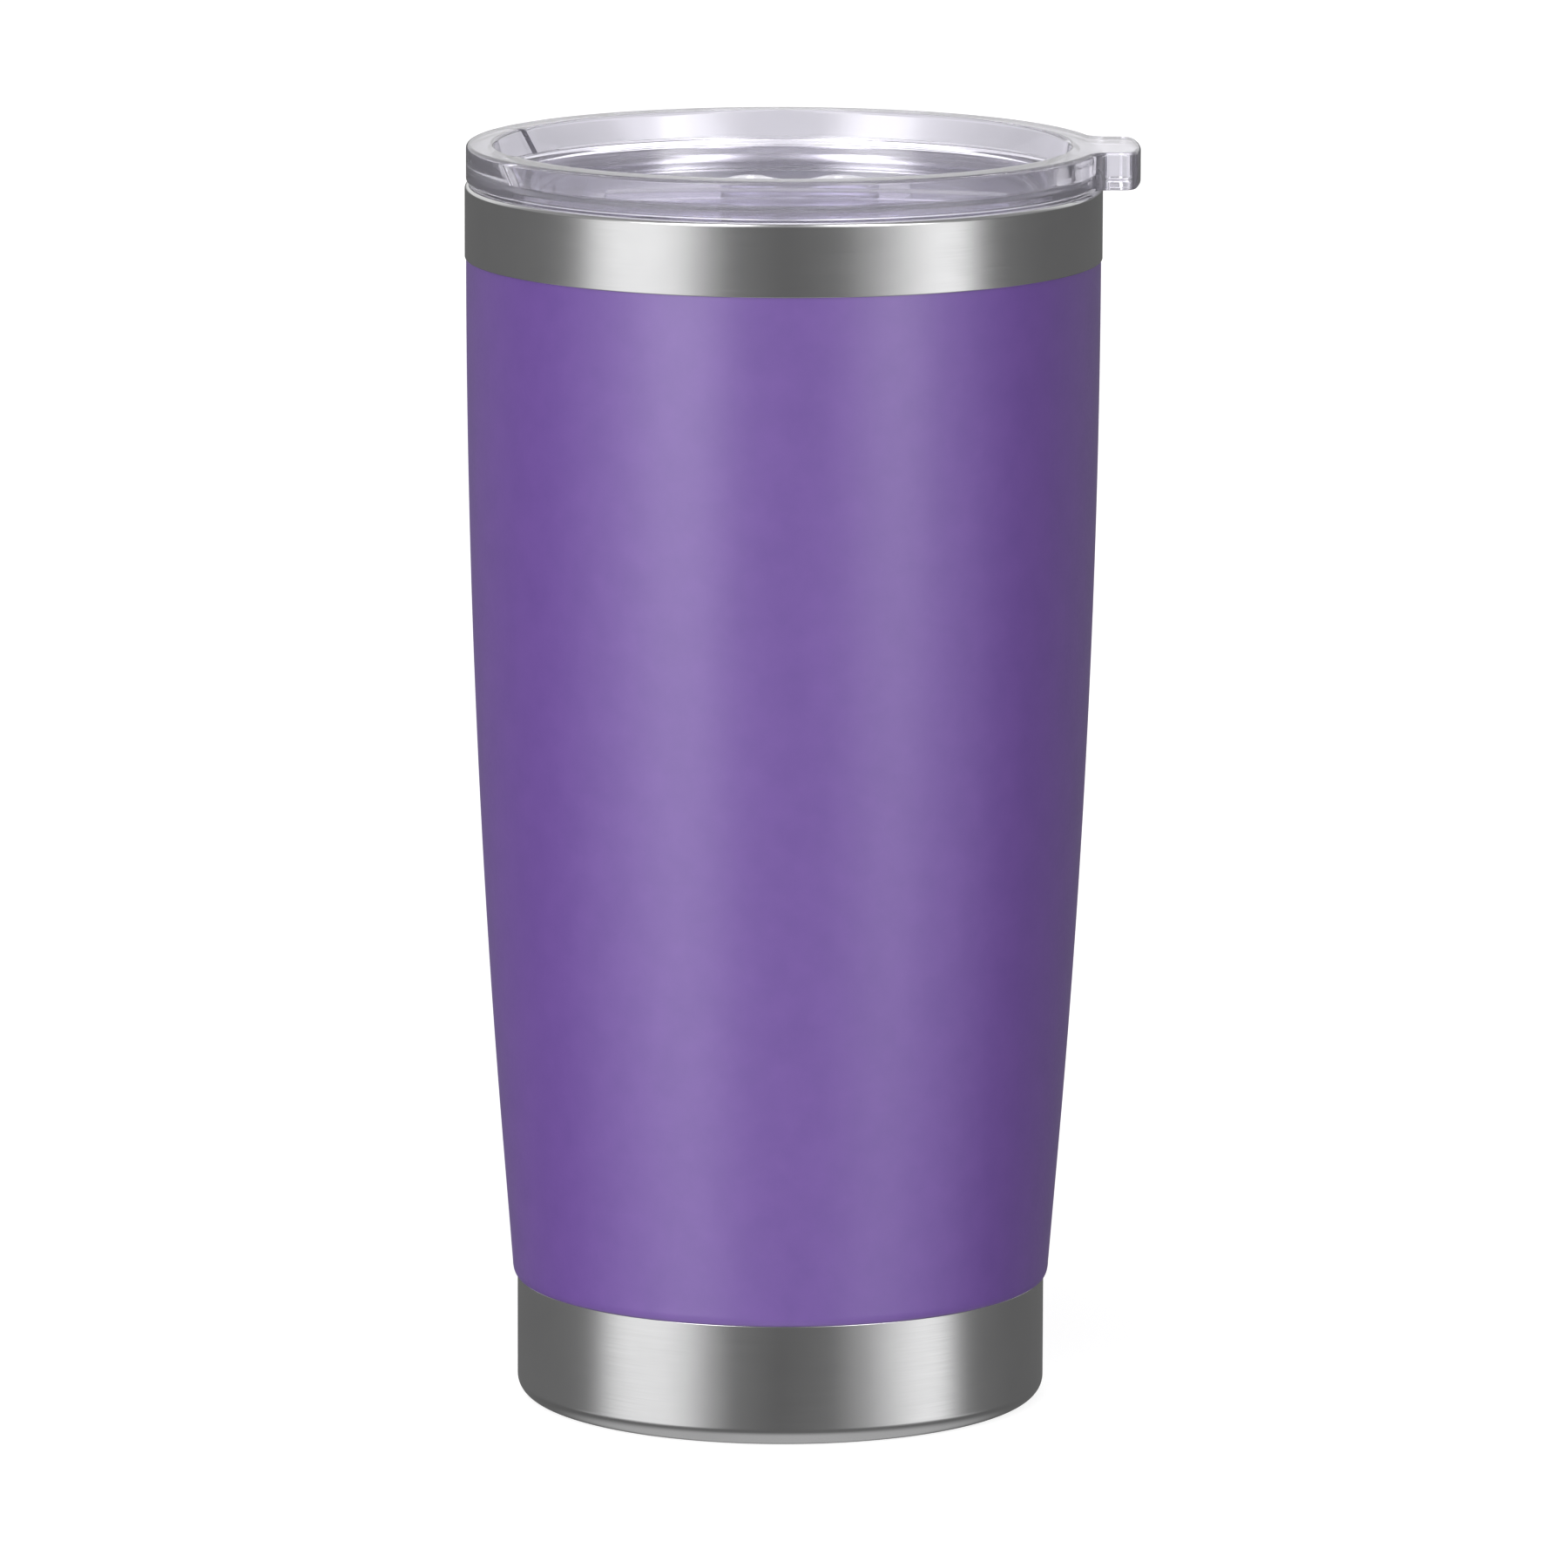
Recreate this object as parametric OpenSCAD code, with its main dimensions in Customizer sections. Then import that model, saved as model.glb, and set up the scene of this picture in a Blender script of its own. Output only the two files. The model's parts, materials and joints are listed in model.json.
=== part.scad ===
// Insulated tumbler: a double-wall vacuum cup with a press-in lid and a sliding closure.
// Units are millimetres. The cup stands on z = 0 with its axis on Z, the lid's finger tab
// points along +X and the sip hole lies on the -X side.

/* [Cup] */
// Outside diameter of the steel rim
rim_d = 87; // [84:0.5:90]
// Height of the steel lip above the table
cup_h = 168.1; // [150:0.1:185]
// Outside diameter of the straight steel base ring
base_d = 72.7; // [70:0.1:74]
// Height of the bare steel ring at the base
base_ring_h = 16.8; // [13:0.1:20]
// Height of the bare steel ring at the rim
rim_ring_h = 10; // [6:0.1:14]
// Radius of the gentle arc that bellies the painted wall
belly_radius = 1530; // [1300:10:2000]
// Thickness of the stainless steel walls
steel_t = 0.5; // [0.4:0.05:0.55]
// Thickness of the powder coat
coat_t = 0.2; // [0.15:0.05:0.25]
// Width of the vacuum gap beside the painted wall
vacuum_gap = 3; // [2:0.1:3.6]
// Inside diameter of the mouth, where the lid's gasket seals
mouth_d = 81.2; // [80.8:0.1:81.4]

/* [Lid] */
// Outside diameter of the lid's flange
lid_d = 86.6; // [84:0.1:88]
// Height of the flange above the steel lip
flange_h = 5.2; // [5:0.1:6.5]
// Depth of the well from the flange's top face to its floor
well_depth = 10.1; // [9.5:0.1:11]
// Thickness of the well's floor
floor_t = 2.3; // [2:0.1:2.6]
// Distance that the finger tab stands out of the flange
tab_reach = 5.3; // [3:0.1:7]
// Width of the finger tab
tab_w = 19.5; // [14:0.5:26]

/* [Slider] */
// Travel of the slider from closed to open
slider_travel = 12; // [10:0.5:12]
// Width of the slider's plate
slider_w = 24; // [22:0.5:25]
// Height of the thumb grip above the plate
grip_h = 3.7; // [3:0.05:4]

/* [Hidden] */
$fn = 96;
eps = 0.01;
over = 1;                           // cutting shapes reach this far past the faces they cut

steel_colour = [0.72, 0.72, 0.71];
coat_colour = [0.44, 0.31, 0.62];
foil_colour = [0.82, 0.82, 0.80];
bead_colour = [0.20, 0.24, 0.22];
clear_colour = [0.86, 0.86, 0.92, 0.4];
silicone_colour = [0.92, 0.92, 0.94, 0.8];

// Radii and levels of the cup
rim_r = rim_d / 2;
base_r = base_d / 2;
mouth_r = mouth_d / 2;
coat_top_z = cup_h - rim_ring_h;
rim_step = 0.2;                     // the steel ring stands this much proud of the coat below it
coat_top_r = rim_r - rim_step;
rim_blend = 2;                      // the shell's inside runs out to the rim ring over this height
shoulder_h = 1.6;                   // height of the rounded shoulder above the base ring
shoulder_z = base_ring_h + shoulder_h;
taper_z = 35;                       // the arc of the wall runs into a straight taper here
wall_steps = 28;                    // spans of the painted wall's arc
arc_steps = 6;                      // spans of a small fillet
wall_stack = coat_t + 2 * steel_t + vacuum_gap;   // from the coat's face to the liner's inside

// Foot of the shell
corner_r = 2.5;                     // outside radius where the base ring meets the foot
foot_inner_r = base_r - 4.95;       // inside of the turned-up hem
hem_bend_r = 1;                     // outside radius of the bend
hem_h = 3.4;                        // height of the hem's upper edge

// Closing plates under the cup
bottom_z = 2.6;                     // underside of the welded bottom disc
dimple_r = 4.5;                     // flat part of the dimple
dimple_slope = 1;                   // width of the dimple's slanting side
dimple_rise = 1.3;
evacuation_r = 1;
bead_r = 3.6;                       // domed bead of solder glass in the dimple
bead_h = 0.9;
cover_z = 0.9;                      // the cover sits this far above the table
cover_t = 0.5;
cover_edge_r = 0.6;                 // bend at the cover's edge
cover_groove_r = 22;                // stamped ring in the cover
cover_groove_w = 2;
cover_groove_depth = 0.35;

// Liner
liner_floor_z = 9;                  // inside floor of the liner
liner_corner_r = 6;
liner_seam_z = 24;                  // weld between the liner tube and its bottom
mouth_len = 13;                     // length of the straight mouth below the lip's curve
mouth_blend = 9;                    // height over which the mouth runs into the liner's wall
lip_r = 0.6;                        // tight outside corner of the lip
lip_crown_r = rim_r - lip_r;        // shell and liner are welded here, on the lip's crown
liner_lip_r = lip_crown_r - mouth_r; // wider curve that leads down into the mouth

// Reflective foil on the liner
foil_t = 0.15;
foil_gap = 0.05;                    // the wrap lies this loosely round the liner
foil_z = [liner_seam_z + 4, coat_top_z - 14];

// Getter in the vacuum space
getter_r = 4.5;
getter_h = 2;
getter_x = 18;
clip_t = 0.35;
clip_w = 4;
clip_foot = 3;                      // length of each welded foot

// Lid levels and radii
lid_gap = 0.3;                      // air between the lip and the flange
flange_z = cup_h + lid_gap;
lid_top_z = flange_z + flange_h;
floor_z = lid_top_z - well_depth;
lid_under_z = floor_z - floor_t;
lid_r = lid_d / 2;
plug_r = mouth_r - 0.3;
plug_bevel = 0.4;
flange_round = 0.6;
flange_bevel = 0.3;
well_top_r = 39;
ledge_z = lid_top_z - 3.6;          // small ledge round the inside of the well
ledge_r = 38.5;
ledge_slope = 0.4;                  // the ledge falls this much towards the axis
well_low_r = 37.9;
well_floor_r = 37.3;
well_fillet = 1.2;
well_edge_round = 0.6;

// Gasket and its groove
groove_z = [lid_under_z + 1, lid_under_z + 4];
groove_r = plug_r - 1.6;
gasket_r = mouth_r - 0.15;          // reach of the sealing lips
gasket_clear = 0.1;                 // room above and below the gasket in its groove
gasket_band = 0.9;                  // thickness of the band that carries the lips
gasket_lip_h = 1.1;                 // height of a lip at its root
gasket_tip_h = 0.3;                 // and at its tip
gasket_lip_space = 1.65;            // from one lip's middle to the other's

// Finger tab
tab_corner_r = 2.4;
tab_root_r = 2.6;                   // hollow curve on each side where the tab leaves the flange
tab_edge_r = 0.6;
tab_inner_r = 41;                   // the tab is one piece with the flange from here outwards

// Openings in the well
sip_x = [-35.5, -27.5];
sip_w = 18;
sip_corner_r = 2.5;
scoop_depth = 0.4;                  // the well's wall is cut back round the sip hole
scoop_w = [31, 36];                 // width of the scoop at the rim and at the ledge
scoop_bead_w = 2;                   // a slanted bead runs down each end of the scoop
scoop_bead_rise = 0.3;              // and stands this much proud of the well's wall
scoop_inner_r = 36;                 // the cut starts here, inside the well
vent_x = 33.5;
vent_r = 1.2;

// Slider
slider_gap = 0.3;
plate_z = floor_z + slider_gap;
plate_t = 1.7;
plate_front_r = 36.4;               // the front end follows the well's wall
plate_end_x = 17.5;
plate_corner_r = 5;
grip_x = [-8.6, 13];
grip_w = 17;
grip_peak_x = [-4.4, 7.2];          // two crests, with a hollow for the thumb between them
grip_crest_r = [12, 20];            // the grip curves down outside each crest
grip_hollow = 0.8;
grip_dome_r = 22;                   // the crests are domed across the grip's width
stem_x = 1.4;
stem = [5, 5];
slot_clear = 0.4;
plate_step = 0.3;                   // the plate's long edges are this much thinner
plate_step_w = 1.2;
retainer = [11, 11, 1.6];
retainer_corner_r = 2;
retainer_gap = 0.3;
rail_gap = 0.35;
rail_y = slider_w / 2 + rail_gap;   // inside face of each rail
rail_t = 1.6;
rail_h = 3.4;
rail_lip = 0.9;
rail_lip_gap = 0.1;
rail_x = [-24, 30];

// ---- outlines -------------------------------------------------------------------------

// Points of an arc about c, from angle a0 to a1
function arc(c, r, a0, a1, n = arc_steps) =
    [for (i = [0:n]) let (a = a0 + (a1 - a0) * i / n) c + r * [cos(a), sin(a)]];

// Radius of the coat's outer face: an arc that starts upright at the rim ring, then a taper
function arc_drop(h) = belly_radius - sqrt(pow(belly_radius, 2) - h * h);
taper_slope = (coat_top_z - taper_z) / belly_radius;
function wall_r(z) =
    coat_top_r - arc_drop(coat_top_z - max(z, taper_z)) - taper_slope * max(taper_z - z, 0);

// The coat's outer face from its bottom edge up, moved inwards by "inset"
function shoulder_points(inset) =
    [for (i = [0:arc_steps - 1])
        let (a = 90 * i / arc_steps)
        [base_r + (wall_r(shoulder_z) - base_r) * sin(a) - inset,
         base_ring_h + shoulder_h * (1 - cos(a))]];
function wall_points(z0, z1, inset, n = wall_steps) =
    [for (i = [0:n]) let (z = z0 + (z1 - z0) * i / n) [wall_r(z) - inset, z]];
function coat_face(inset) =
    concat(shoulder_points(inset), wall_points(shoulder_z, coat_top_z, inset));

function backwards(points) = [for (i = [len(points) - 1:-1:0]) points[i]];

// The liner's wall, moved outwards by "out" from its inside face
function liner_points(z0, z1, out, n = wall_steps) = wall_points(z0, z1, wall_stack - out, n);

// ---- cup ------------------------------------------------------------------------------

// Outer wall, from the turned-up hem under the foot to the crown of the lip
module outer_shell() {
    hem_in = foot_inner_r;
    hem_out = hem_in + steel_t;
    outside = concat(
        [[hem_in, hem_h]],
        arc([hem_in + hem_bend_r, hem_bend_r], hem_bend_r, 180, 270),
        arc([base_r - corner_r, corner_r], corner_r, 270, 360),
        [[base_r, base_ring_h]],
        coat_face(coat_t),
        [[rim_r, coat_top_z]],
        arc([lip_crown_r, cup_h - lip_r], lip_r, 0, 90));
    inside = concat(
        arc([lip_crown_r, cup_h - lip_r], lip_r - steel_t, 90, 0),
        [[rim_r - steel_t, coat_top_z + rim_blend]],
        backwards(wall_points(shoulder_z, coat_top_z, coat_t + steel_t)),
        [[base_r - steel_t - coat_t / 2, base_ring_h]],
        arc([base_r - corner_r, corner_r], corner_r - steel_t, 360, 270),
        arc([hem_out + hem_bend_r - steel_t, hem_bend_r], hem_bend_r - steel_t, 270, 180),
        [[hem_out, hem_h]]);
    color(steel_colour) rotate_extrude() polygon(concat(outside, inside));
}

// Powder coat between the two bare steel rings
module powder_coat() {
    color(coat_colour) rotate_extrude() polygon(concat(coat_face(0), backwards(coat_face(coat_t))));
}

// Inner wall: the lip's inside half, the straight mouth, and the tapering tube
module inner_liner() {
    mouth_z = cup_h - lip_r - mouth_len;
    blend_z = mouth_z - mouth_blend;
    lip_c = [lip_crown_r, cup_h - liner_lip_r];
    inside = concat(
        arc(lip_c, liner_lip_r, 90, 180),
        [[mouth_r, mouth_z]],
        backwards(liner_points(liner_seam_z, blend_z, 0)));
    outside = concat(
        liner_points(liner_seam_z, blend_z, steel_t),
        [[mouth_r + steel_t, mouth_z]],
        arc(lip_c, liner_lip_r - steel_t, 180, 90));
    color(steel_colour) rotate_extrude() polygon(concat(inside, outside));
}

// Stamped bottom of the liner, butt-welded to the tube
module liner_bottom() {
    r = wall_r(liner_floor_z + liner_corner_r) - wall_stack;
    c = [r - liner_corner_r, liner_floor_z + liner_corner_r];
    inside = concat(
        [[0, liner_floor_z]],
        arc(c, liner_corner_r, 270, 360, 2 * arc_steps),
        liner_points(liner_floor_z + liner_corner_r + 1, liner_seam_z, 0, 2));
    outside = concat(
        backwards(liner_points(liner_floor_z + liner_corner_r + 1, liner_seam_z, steel_t, 2)),
        arc(c, liner_corner_r + steel_t, 360, 270, 2 * arc_steps),
        [[0, liner_floor_z - steel_t]]);
    color(steel_colour) rotate_extrude() polygon(concat(inside, outside));
}

// Foil wrapped round the liner against radiated heat, inside the vacuum
module reflective_foil() {
    face = liner_points(foil_z[0], foil_z[1], steel_t + foil_gap);
    color(foil_colour) rotate_extrude()
        polygon(concat(face, backwards([for (p = face) p + [foil_t, 0]])));
}

// Disc welded into the hem, with the dimple and the hole that the cup is evacuated through
module outer_bottom() {
    lower = [[evacuation_r, bottom_z + dimple_rise], [dimple_r, bottom_z + dimple_rise],
             [dimple_r + dimple_slope, bottom_z], [foot_inner_r, bottom_z]];
    upper = [for (p = lower) p + [0, steel_t]];
    color(steel_colour) rotate_extrude() polygon(concat(lower, backwards(upper)));
}

// Solder glass that seals the evacuation hole
module seal_bead() {
    seat_z = bottom_z + dimple_rise;
    dome_r = (bead_r * bead_r + bead_h * bead_h) / (2 * bead_h);
    dome = arc([0, seat_z - bead_h + dome_r], dome_r, 270, 270 + asin(bead_r / dome_r));
    plug = [[evacuation_r, seat_z], [evacuation_r, seat_z + steel_t], [0, seat_z + steel_t]];
    color(bead_colour) rotate_extrude() polygon(concat(dome, plug));
}

// Pressed steel cover that hides the seal, with one stamped ring
module base_cover() {
    half = cover_groove_w / 2;
    bend = [foot_inner_r - cover_edge_r, cover_z + cover_edge_r];
    face = [for (p = [[0, 0], [cover_groove_r - half, 0],
                      [cover_groove_r - half / 2, cover_groove_depth],
                      [cover_groove_r + half / 2, cover_groove_depth],
                      [cover_groove_r + half, 0]])
        p + [0, cover_z]];
    under = concat(face, arc(bend, cover_edge_r, 270, 360), [[foot_inner_r, bottom_z]]);
    above = concat([[foot_inner_r - cover_t, bottom_z]],
        arc(bend, cover_edge_r - cover_t, 360, 270, 2),
        backwards([for (p = face) p + [0, cover_t]]));
    color(steel_colour) rotate_extrude() polygon(concat(under, above));
}

// Pill of getter that takes up stray gas in the vacuum
module getter_pellet() {
    color("dimgray") translate([getter_x, 0, bottom_z + steel_t]) cylinder(r = getter_r, h = getter_h);
}

// Strap that holds the getter down, with a foot at each end
module getter_clip() {
    span = 2 * (getter_r + clip_t);
    color("gray") translate([getter_x, 0, bottom_z + steel_t])
        rotate([90, 0, 0]) translate([0, 0, -clip_w / 2]) linear_extrude(clip_w)
            difference() {
                union() {
                    translate([-span / 2, 0]) square([span, getter_h + clip_t]);
                    translate([-span / 2 - clip_foot, 0]) square([span + 2 * clip_foot, clip_t]);
                }
                translate([-getter_r, -eps]) square([2 * getter_r, getter_h + eps]);
            }
}

// ---- lid ------------------------------------------------------------------------------

module rounded_rectangle(low, high, r) {
    translate([low[0] + r, low[1]]) square([high[0] - low[0] - 2 * r, high[1] - low[1]]);
    translate([low[0], low[1] + r]) square([high[0] - low[0], high[1] - low[1] - 2 * r]);
    for (x = [low[0] + r, high[0] - r])
        for (y = [low[1] + r, high[1] - r])
            translate([x, y]) circle(r);
}

// Flange, plug and well in one turned outline
module lid_bowl() {
    outside = concat(
        arc([lid_r - flange_round, lid_top_z - flange_round], flange_round, 90, 0),
        [[lid_r, flange_z + flange_bevel], [lid_r - flange_bevel, flange_z], [plug_r, flange_z],
         [plug_r, groove_z[1]], [groove_r, groove_z[1]], [groove_r, groove_z[0]],
         [plug_r, groove_z[0]], [plug_r, lid_under_z + plug_bevel],
         [plug_r - plug_bevel, lid_under_z], [0, lid_under_z]]);
    inside = concat(
        [[0, floor_z]],
        arc([well_floor_r - well_fillet, floor_z + well_fillet], well_fillet, 270, 360),
        [[well_low_r, ledge_z - ledge_slope], [ledge_r, ledge_z]],
        arc([well_top_r + well_edge_round, lid_top_z - well_edge_round], well_edge_round, 180, 90));
    rotate_extrude() polygon(concat(outside, inside));
}

// Disc as thick as the flange, with both its edges rounded
module rounded_disc(r, edge_r) {
    rotate_extrude() polygon(concat(
        [[0, flange_z]],
        arc([r - edge_r, flange_z + edge_r], edge_r, 270, 360),
        arc([r - edge_r, lid_top_z - edge_r], edge_r, 0, 90),
        [[0, lid_top_z]]));
}

// Finger tab on the +X side, rounded along its edges, with a hollow curve at each root
module finger_tab() {
    reach = lid_r + tab_reach;
    half = tab_w / 2;
    root_y = half + tab_root_r;
    root_x = sqrt(pow(lid_r + tab_root_r, 2) - pow(root_y, 2));
    touch = [root_x, root_y] * lid_r / (lid_r + tab_root_r);
    inner_x = touch[0] - over;
    side_y = half - tab_edge_r;
    intersection() {
        rounded_disc(reach, tab_edge_r);
        translate([0, 0, flange_z]) rotate([90, 0, 90]) linear_extrude(reach)
            rounded_rectangle([-half, 0], [half, flange_h], tab_edge_r);
        translate([0, 0, flange_z]) linear_extrude(flange_h) difference() {
            rounded_rectangle([lid_r / 2, -half], [reach, half], tab_corner_r);
            circle(tab_inner_r);
        }
    }
    for (side = [-1, 1])
        translate([0, 0, flange_z + tab_edge_r]) linear_extrude(flange_h - 2 * tab_edge_r)
            difference() {
                polygon([[inner_x, side * side_y], [root_x, side * side_y], [root_x, side * half],
                         [touch[0], side * touch[1]], [inner_x, side * touch[1]]]);
                translate([root_x, side * root_y]) circle(tab_root_r);
            }
}

// Guide rails that hold the slider's plate down
module rails() {
    for (side = [-1, 1])
        translate([rail_x[0], side * (rail_y + rail_t / 2), floor_z]) {
            translate([0, -rail_t / 2, -eps]) cube([rail_x[1] - rail_x[0], rail_t, rail_h + eps]);
            lip_z = slider_gap + plate_t + rail_lip_gap;
            translate([0, -rail_t / 2 - (side > 0 ? rail_lip : 0), lip_z])
                cube([rail_x[1] - rail_x[0], rail_t + rail_lip, rail_h - lip_z]);
        }
}

// Shallow scoop in the well's wall, leading from the sip hole up to the rim on the -X side
module sip_scoop() {
    scoop_h = lid_top_z - ledge_z;
    intersection() {
        rotate_extrude()
            polygon([[scoop_inner_r, ledge_z], [ledge_r + scoop_depth, ledge_z],
                     [well_top_r + scoop_depth, lid_top_z + eps], [scoop_inner_r, lid_top_z + eps]]);
        translate([0, 0, ledge_z]) rotate([90, 0, -90]) linear_extrude(lid_r)
            polygon([[-scoop_w[1] / 2, 0], [scoop_w[1] / 2, 0],
                     [scoop_w[0] / 2, scoop_h + eps], [-scoop_w[0] / 2, scoop_h + eps]]);
    }
}

// Slanted beads on the well's wall, one down each end of the scoop
module scoop_beads() {
    bead_top_z = lid_top_z - well_edge_round;
    intersection() {
        rotate_extrude()
            polygon([[ledge_r - scoop_bead_rise, ledge_z], [ledge_r + over, ledge_z],
                     [well_top_r + over, bead_top_z], [well_top_r - scoop_bead_rise, bead_top_z]]);
        for (side = [-1, 1])
            translate([0, 0, ledge_z]) rotate([90, 0, -90]) linear_extrude(lid_r)
                polygon([for (p = [[scoop_w[1] / 2, 0], [scoop_w[1] / 2 + scoop_bead_w, 0],
                                   [scoop_w[0] / 2 + scoop_bead_w, lid_top_z - ledge_z],
                                   [scoop_w[0] / 2, lid_top_z - ledge_z]])
                    [side * p[0], p[1]]]);
    }
}

module lid_body() {
    color(clear_colour) difference() {
        union() {
            lid_bowl();
            finger_tab();
            rails();
            scoop_beads();
        }
        // sip hole, vent hole, and the slot that the slider's stem runs in
        translate([0, 0, lid_under_z - over]) linear_extrude(floor_t + 2 * over)
            rounded_rectangle([sip_x[0], -sip_w / 2], [sip_x[1], sip_w / 2], sip_corner_r);
        translate([vent_x, 0, lid_under_z - over]) cylinder(r = vent_r, h = floor_t + 2 * over);
        translate([stem_x - stem[0] / 2 - slot_clear, -stem[1] / 2 - slot_clear, lid_under_z - over])
            cube([stem[0] + slider_travel + 2 * slot_clear, stem[1] + 2 * slot_clear,
                  floor_t + 2 * over]);
        sip_scoop();
    }
}

// Silicone ring with two sealing lips, sprung into the plug's groove
module lid_gasket() {
    band_r = groove_r + gasket_band;
    low_z = groove_z[0] + gasket_clear;
    high_z = groove_z[1] - gasket_clear;
    lip_points = [for (side = [-1, 1])
        let (z = (low_z + high_z) / 2 + side * gasket_lip_space / 2)
        each [[band_r, z - gasket_lip_h / 2], [gasket_r, z - gasket_tip_h / 2],
              [gasket_r, z + gasket_tip_h / 2], [band_r, z + gasket_lip_h / 2]]];
    color(silicone_colour) rotate_extrude()
        polygon(concat([[groove_r, low_z], [band_r, low_z]], lip_points,
                       [[band_r, high_z], [groove_r, high_z]]));
}

// ---- slider ---------------------------------------------------------------------------

// Height of the thumb grip above the plate: a crest at each peak and a hollow between them
function grip_height(x) =
    x < grip_peak_x[0] ? grip_h - pow(x - grip_peak_x[0], 2) / (2 * grip_crest_r[0]) :
    x > grip_peak_x[1] ? grip_h - pow(x - grip_peak_x[1], 2) / (2 * grip_crest_r[1]) :
    let (turn = 360 * (x - grip_peak_x[0]) / (grip_peak_x[1] - grip_peak_x[0]))
    grip_h - grip_hollow * (1 - cos(turn)) / 2;

module thumb_grip() {
    steps = 30;
    length = grip_x[1] - grip_x[0];
    crest = [for (i = [0:steps]) let (x = grip_x[0] + length * i / steps) [x, grip_height(x)]];
    translate([0, 0, plate_z + plate_t]) intersection() {
        rotate([90, 0, 0]) translate([0, 0, -grip_w / 2]) linear_extrude(grip_w)
            polygon(concat([[grip_x[0], -plate_t / 2]], crest, [[grip_x[1], -plate_t / 2]]));
        translate([grip_x[0] - over, 0, grip_h - grip_dome_r])
            rotate([0, 90, 0]) cylinder(r = grip_dome_r, h = length + 2 * over);
    }
}

module slider_plate() {
    linear_extrude(plate_t) intersection() {
        rounded_rectangle([-plate_front_r - plate_corner_r, -slider_w / 2],
                          [plate_end_x, slider_w / 2], plate_corner_r);
        circle(plate_front_r);
    }
}

module slider() {
    stem_z = lid_under_z - retainer_gap - retainer[2];
    color(clear_colour) {
        difference() {
            translate([0, 0, plate_z]) slider_plate();
            // the plate's long edges are thinner, so that they run under the rails' lips
            for (side = [-1, 1])
                translate([0, side * slider_w / 2, plate_z + plate_t])
                    cube([3 * plate_front_r, 2 * plate_step_w, 2 * plate_step], center = true);
        }
        thumb_grip();
        translate([stem_x - stem[0] / 2, -stem[1] / 2, stem_z])
            cube([stem[0], stem[1], plate_z - stem_z + eps]);
    }
}

// Snap-on plate under the lid that keeps the slider in its slot
module slider_retainer() {
    color(clear_colour)
        translate([stem_x, 0, lid_under_z - retainer_gap - retainer[2]])
            linear_extrude(retainer[2]) difference() {
                rounded_rectangle([-retainer[0] / 2, -retainer[1] / 2],
                                  [retainer[0] / 2, retainer[1] / 2], retainer_corner_r);
                translate([-stem[0] / 2, -stem[1] / 2]) square(stem);
            }
}

outer_shell();
powder_coat();
inner_liner();
liner_bottom();
reflective_foil();
outer_bottom();
getter_pellet();
getter_clip();
seal_bead();
base_cover();
lid_body();
lid_gasket();
slider();
slider_retainer();
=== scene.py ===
import json
import math

import bmesh
import bpy
from mathutils import Matrix, Vector


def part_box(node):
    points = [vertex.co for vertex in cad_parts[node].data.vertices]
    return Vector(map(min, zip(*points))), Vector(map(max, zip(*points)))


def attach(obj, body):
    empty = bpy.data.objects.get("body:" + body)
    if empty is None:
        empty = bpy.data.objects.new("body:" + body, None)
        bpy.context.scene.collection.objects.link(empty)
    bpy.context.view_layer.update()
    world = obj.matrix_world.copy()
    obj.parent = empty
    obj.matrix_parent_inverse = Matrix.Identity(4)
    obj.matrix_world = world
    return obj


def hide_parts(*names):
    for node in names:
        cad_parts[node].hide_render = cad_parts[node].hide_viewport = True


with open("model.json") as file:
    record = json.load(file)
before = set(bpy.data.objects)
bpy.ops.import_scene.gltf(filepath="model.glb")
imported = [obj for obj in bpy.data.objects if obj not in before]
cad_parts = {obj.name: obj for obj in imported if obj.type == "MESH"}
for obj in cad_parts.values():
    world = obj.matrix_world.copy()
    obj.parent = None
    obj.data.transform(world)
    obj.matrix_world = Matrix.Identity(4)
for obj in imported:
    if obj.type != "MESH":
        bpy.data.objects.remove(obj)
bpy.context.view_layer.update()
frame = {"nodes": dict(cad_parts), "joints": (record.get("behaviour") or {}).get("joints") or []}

# Looks of the insulated tumbler. Lengths are in metres, in the frame of the CAD model:
# the cup stands on z = 0, the finger tab points along +X and the camera looks along +Y.

MM = 0.001
nodes = frame["nodes"]

# ---- camera ---------------------------------------------------------------------------

CAMERA_PLACE = (0.28 * MM, -1.645, 0.3704)
CAMERA_PITCH = math.radians(9.84)      # looking down
CAMERA_ROLL = math.radians(0.18)
CAMERA_LENS = 279.0


def make_camera():
    data = bpy.data.cameras.new("camera")
    data.lens = CAMERA_LENS
    data.sensor_width = 36.0
    data.clip_start = 0.05
    data.clip_end = 50.0
    camera = bpy.data.objects.new("camera", data)
    bpy.context.scene.collection.objects.link(camera)
    turn = Matrix.Rotation(math.pi / 2 - CAMERA_PITCH, 4, "X") @ Matrix.Rotation(CAMERA_ROLL, 4, "Z")
    camera.matrix_world = Matrix.Translation(CAMERA_PLACE) @ turn
    bpy.context.scene.camera = camera


make_camera()

# ---- sizes: from the frame's boxes, and where they don't give one, repeated from the CAD ----

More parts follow.
